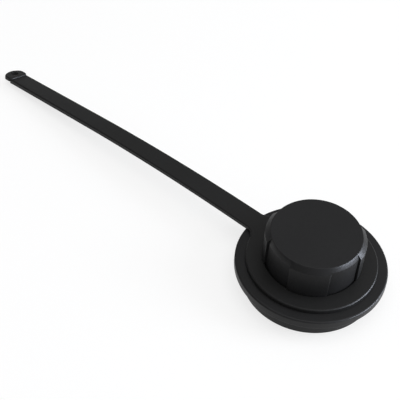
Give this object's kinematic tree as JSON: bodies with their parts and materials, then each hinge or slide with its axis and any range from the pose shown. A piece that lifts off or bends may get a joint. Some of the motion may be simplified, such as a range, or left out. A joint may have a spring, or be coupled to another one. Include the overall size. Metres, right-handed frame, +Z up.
{
  "type": "connector sealing cap",
  "caption": "Round sealing cap with a lobed grip knob on a flange; a flat drooping strap swivels on its neck by a ring and ends in a raised screw eyelet.",
  "frame": {"origin": "on the cap's axis, in the plane of the rim that the cap stands on", "axes": "+Z up through the knob, the strap lies towards -X"},
  "size_m": [0.1392, 0.04, 0.0188],
  "materials": {
    "cap_plastic": "black moulded nylon, finely textured matte",
    "strap_plastic": "black flexible moulding, matte",
    "gasket_rubber": "dark grey sealing rubber, satin"
  },
  "bodies": {
    "cap": {"cap_body": "cap_plastic", "face_gasket": "gasket_rubber"},
    "strap": {"retaining_strap": "strap_plastic"}
  },
  "joints": [
    {"name": "strap_swivel", "type": "hinge", "parent": "cap", "child": "strap", "pos_m": [0, 0, 0.0078], "axis": [0, 0, 1], "continuous": true}
  ]
}
